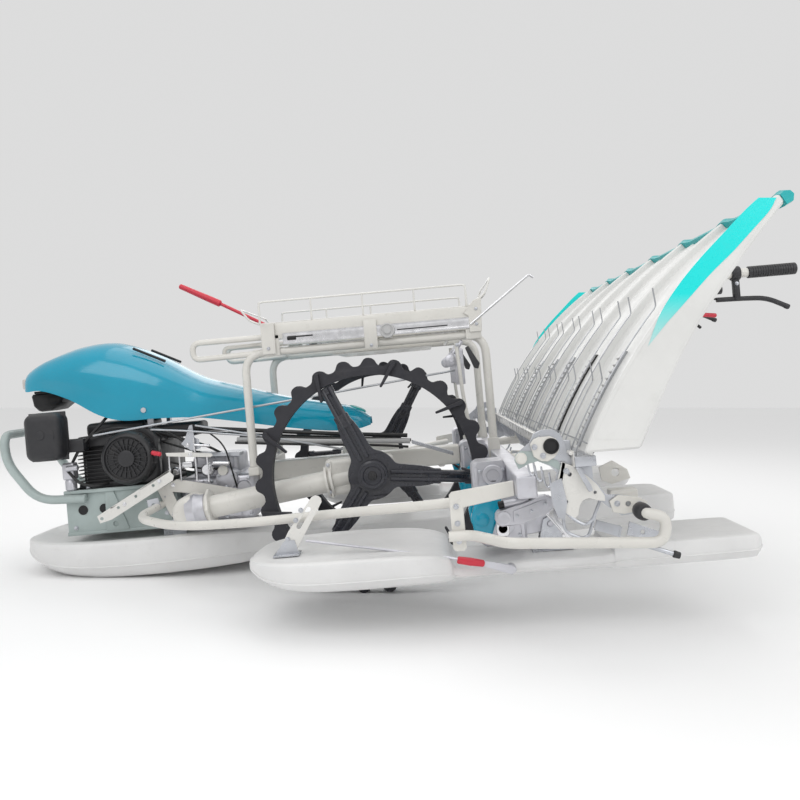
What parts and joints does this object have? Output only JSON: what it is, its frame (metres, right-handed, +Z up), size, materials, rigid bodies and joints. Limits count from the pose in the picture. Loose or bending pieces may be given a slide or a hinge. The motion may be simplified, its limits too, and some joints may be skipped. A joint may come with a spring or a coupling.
{
  "type": "walk-behind six-row rice transplanter",
  "caption": "Walk-behind rice transplanter with engine hood, lugged paddy wheels on swing legs, floats, planting arms, sliding seedling tray, spare-mat rack and handlebar.",
  "frame": {"origin": "centre of the bounding box at floor level", "axes": "+X towards the handles (rear), +Y to the machine's right side, +Z up"},
  "size_m": [2.3748, 1.884, 1.0002],
  "materials": {
    "cream_paint": "satin",
    "hood_teal": "gloss",
    "frame_grey_green": "satin",
    "cast_aluminium": "satin",
    "zinc_plate": "satin",
    "engine_black": "satin",
    "black_plastic": "matte",
    "wheel_black": "satin",
    "wheel_rubber": "matte",
    "float_white": "satin",
    "tray_white": "satin",
    "trim_teal": "satin",
    "grip_red": "satin",
    "wire_white": "satin"
  },
  "bodies": {
    "chassis": {"air_cleaner": "black_plastic", "brake_lever_left": "black_plastic", "brake_lever_right": "black_plastic", "engine_block": "engine_black", "engine_frame": "frame_grey_green", "front_bumper": "frame_grey_green", "gearbox": "cast_aluminium", "grip_left": "black_plastic", "grip_right": "black_plastic", "handlebar": "cream_paint", "hood": "hood_teal", "hood_stay": "zinc_plate", "main_frame": "cream_paint", "planting_case_center": "cast_aluminium", "planting_case_left": "cast_aluminium", "planting_case_right": "cast_aluminium", "rack_frame_left": "cream_paint", "rack_frame_right": "cream_paint", "rack_hook_rod": "zinc_plate", "rack_rail_left": "cream_paint", "rack_rail_right": "cream_paint", "rack_release_lever": "grip_red", "rear_cross_beam": "cream_paint", "recoil_housing": "engine_black", "side_guard_left": "cream_paint", "side_guard_right": "cream_paint", "tray_rail": "zinc_plate"},
    "basket": {"basket": "wire_white"},
    "crank_center": {"crank_center": "zinc_plate"},
    "crank_left": {"crank_left": "zinc_plate"},
    "crank_right": {"crank_right": "zinc_plate"},
    "float_center": {"float_bracket_center": "zinc_plate", "float_center": "float_white"},
    "float_left": {"float_bracket_left": "zinc_plate", "float_left": "float_white", "float_link_left": "zinc_plate"},
    "float_right": {"float_bracket_right": "zinc_plate", "float_link_right": "zinc_plate", "float_right": "float_white"},
    "arms_left": {"planting_arm_1": "cast_aluminium", "planting_arm_2": "cast_aluminium"},
    "arms_center": {"planting_arm_3": "cast_aluminium", "planting_arm_4": "cast_aluminium"},
    "arms_right": {"planting_arm_5": "cast_aluminium", "planting_arm_6": "cast_aluminium"},
    "leg_left": {"swing_leg_left": "cream_paint"},
    "leg_right": {"swing_leg_right": "cream_paint"},
    "tray": {"tray_fin_left": "tray_white", "tray_fin_right": "tray_white", "tray_panel": "tray_white", "tray_top_trim": "trim_teal"},
    "wheel_left": {"wheel_rim_left": "wheel_rubber", "wheel_spider_left": "wheel_black"},
    "wheel_right": {"wheel_rim_right": "wheel_rubber", "wheel_spider_right": "wheel_black"}
  },
  "joints": [
    {"name": "leg_left_lift", "type": "hinge", "parent": "chassis", "child": "leg_left", "pos_m": [-0.57493, -0.255, 0.21034], "axis": [0, 1, 0], "range_deg": [-4, 24]},
    {"name": "wheel_left_spin", "type": "hinge", "parent": "leg_left", "child": "wheel_left", "pos_m": [-0.0333, -0.34, 0.33], "axis": [0, 1, 0], "continuous": true},
    {"name": "float_left_swing", "type": "hinge", "parent": "chassis", "child": "float_left", "pos_m": [0.4209, -0.6, 0.24426], "axis": [0, 1, 0], "range_deg": [0, 2.5]},
    {"name": "leg_right_lift", "type": "hinge", "parent": "chassis", "child": "leg_right", "pos_m": [-0.57493, 0.255, 0.21034], "axis": [0, 1, 0], "range_deg": [-4, 24]},
    {"name": "wheel_right_spin", "type": "hinge", "parent": "leg_right", "child": "wheel_right", "pos_m": [-0.0333, 0.34, 0.33], "axis": [0, 1, 0], "continuous": true},
    {"name": "float_right_swing", "type": "hinge", "parent": "chassis", "child": "float_right", "pos_m": [0.4209, 0.6, 0.24426], "axis": [0, 1, 0], "range_deg": [0, 2.5]},
    {"name": "float_center_swing", "type": "hinge", "parent": "chassis", "child": "float_center", "pos_m": [0.4209, 0, 0.24426], "axis": [0, 1, 0], "range_deg": [-8, 0]},
    {"name": "tray_travel", "type": "slide", "parent": "chassis", "child": "tray", "axis": [0, 1, 0], "range_m": [-0.14, 0.14]},
    {"name": "basket_travel", "type": "slide", "parent": "chassis", "child": "basket", "axis": [0.9962, 0, 0.0872], "range_m": [-0.2, 0.15]},
    {"name": "crank_center_turn", "type": "hinge", "parent": "chassis", "child": "crank_center", "pos_m": [0.2949, 0, 0.2503], "axis": [0, 1, 0], "continuous": true},
    {"name": "arms_center_turn", "type": "hinge", "parent": "crank_center", "child": "arms_center", "pos_m": [0.29193, 0, 0.28417], "axis": [0, 1, 0], "continuous": true},
    {"name": "crank_left_turn", "type": "hinge", "parent": "chassis", "child": "crank_left", "pos_m": [0.2949, -0.6, 0.2503], "axis": [0, 1, 0], "continuous": true},
    {"name": "arms_left_turn", "type": "hinge", "parent": "crank_left", "child": "arms_left", "pos_m": [0.29193, -0.6, 0.28417], "axis": [0, 1, 0], "continuous": true},
    {"name": "crank_right_turn", "type": "hinge", "parent": "chassis", "child": "crank_right", "pos_m": [0.2949, 0.6, 0.2503], "axis": [0, 1, 0], "continuous": true},
    {"name": "arms_right_turn", "type": "hinge", "parent": "crank_right", "child": "arms_right", "pos_m": [0.29193, 0.6, 0.28417], "axis": [0, 1, 0], "continuous": true}
  ],
  "couplings": [
    {"joint": "crank_left_turn", "follows": "crank_center_turn", "ratio": 1},
    {"joint": "crank_right_turn", "follows": "crank_center_turn", "ratio": 1},
    {"joint": "arms_center_turn", "follows": "crank_center_turn", "ratio": -1},
    {"joint": "arms_left_turn", "follows": "crank_center_turn", "ratio": -1},
    {"joint": "arms_right_turn", "follows": "crank_center_turn", "ratio": -1}
  ]
}
